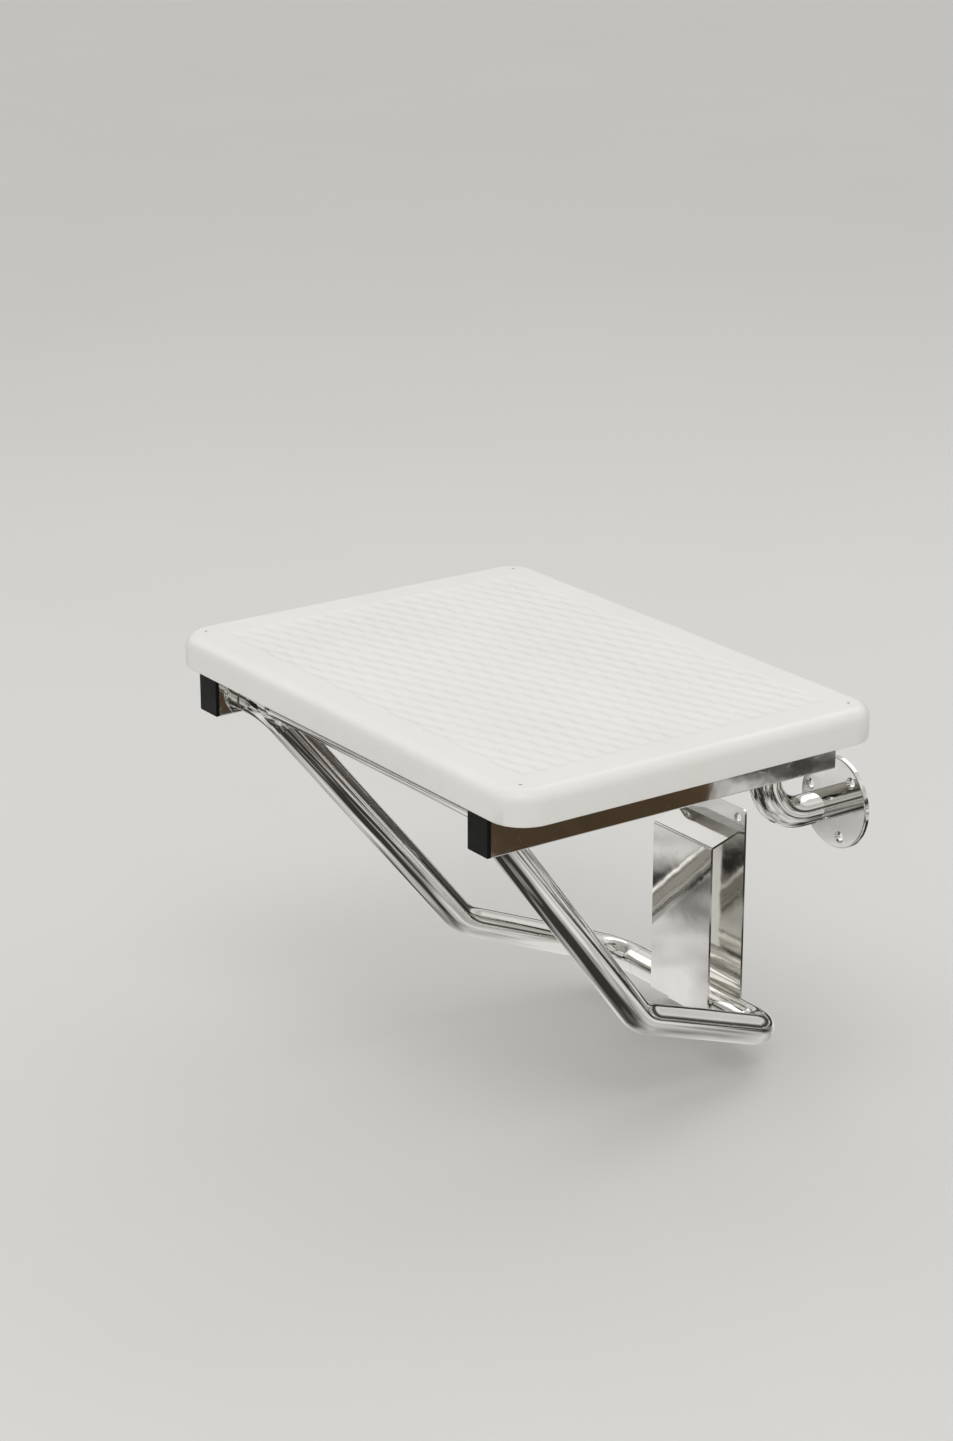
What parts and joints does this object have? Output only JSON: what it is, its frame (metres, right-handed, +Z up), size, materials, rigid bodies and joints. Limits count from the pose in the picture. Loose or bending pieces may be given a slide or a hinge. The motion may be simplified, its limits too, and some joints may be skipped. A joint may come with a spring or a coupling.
{
  "type": "shower chair",
  "caption": "Wall-mounted fold-up shower seat: white moulded seat on polished side rails, hinged arms on wall flanges, and a bent-tube leg frame that slides in a wall guide.",
  "frame": {"origin": "centre of the wall guide's four fixing holes, on the wall plane and on the seat's centre line", "axes": "+X along the wall, +Y into the wall, +Z up; the seat projects towards -Y"},
  "size_m": [0.473, 0.374, 0.3512],
  "materials": {
    "polished_steel": "mirror polished stainless steel",
    "white_plastic": "gloss moulded plastic",
    "black_plastic": "satin",
    "nylon": "natural nylon",
    "steel_fastener": "brushed"
  },
  "bodies": {
    "wall_frame": {"right_wall_flange": "polished_steel", "left_wall_flange": "polished_steel", "right_arm_tube": "polished_steel", "left_arm_tube": "polished_steel", "arm_top_plugs": "black_plastic", "hinge_bushes": "nylon", "guide_wall_plate": "polished_steel", "guide_hood": "polished_steel"},
    "seat": {"seat_panel": "white_plastic", "seat_base": "white_plastic", "right_side_rail": "polished_steel", "left_side_rail": "polished_steel", "rail_front_caps": "black_plastic", "rail_rear_plugs": "black_plastic", "seat_screws": "steel_fastener", "hinge_bolts": "steel_fastener", "hinge_blocks": "steel_fastener", "hinge_washers": "nylon", "front_axle": "polished_steel", "axle_blocks": "steel_fastener", "leg_washers": "nylon"},
    "leg_frame": {"right_leg_tube": "polished_steel", "left_leg_tube": "polished_steel", "leg_pivot_bushes": "nylon"},
    "guide_slider": {"cross_tube": "polished_steel", "cross_tube_plugs": "black_plastic"}
  },
  "joints": [
    {"name": "seat_fold", "type": "hinge", "parent": "wall_frame", "child": "seat", "pos_m": [0, -0.076, 0.20709], "axis": [-1, 0, 0], "range_deg": [0, 90]},
    {"name": "leg_swing", "type": "hinge", "parent": "seat", "child": "leg_frame", "pos_m": [0, -0.338, 0.20409], "axis": [-1, 0, 0], "range_deg": [-49.18, 0]},
    {"name": "foot_slide", "type": "slide", "parent": "wall_frame", "child": "guide_slider", "axis": [0, 0, 1], "range_m": [0, 0.1212]}
  ],
  "couplings": [
    {"joint": "leg_swing", "follows": "seat_fold", "ratio": -0.54634},
    {"joint": "foot_slide", "follows": "seat_fold", "m_per_rad": 0.077103}
  ]
}
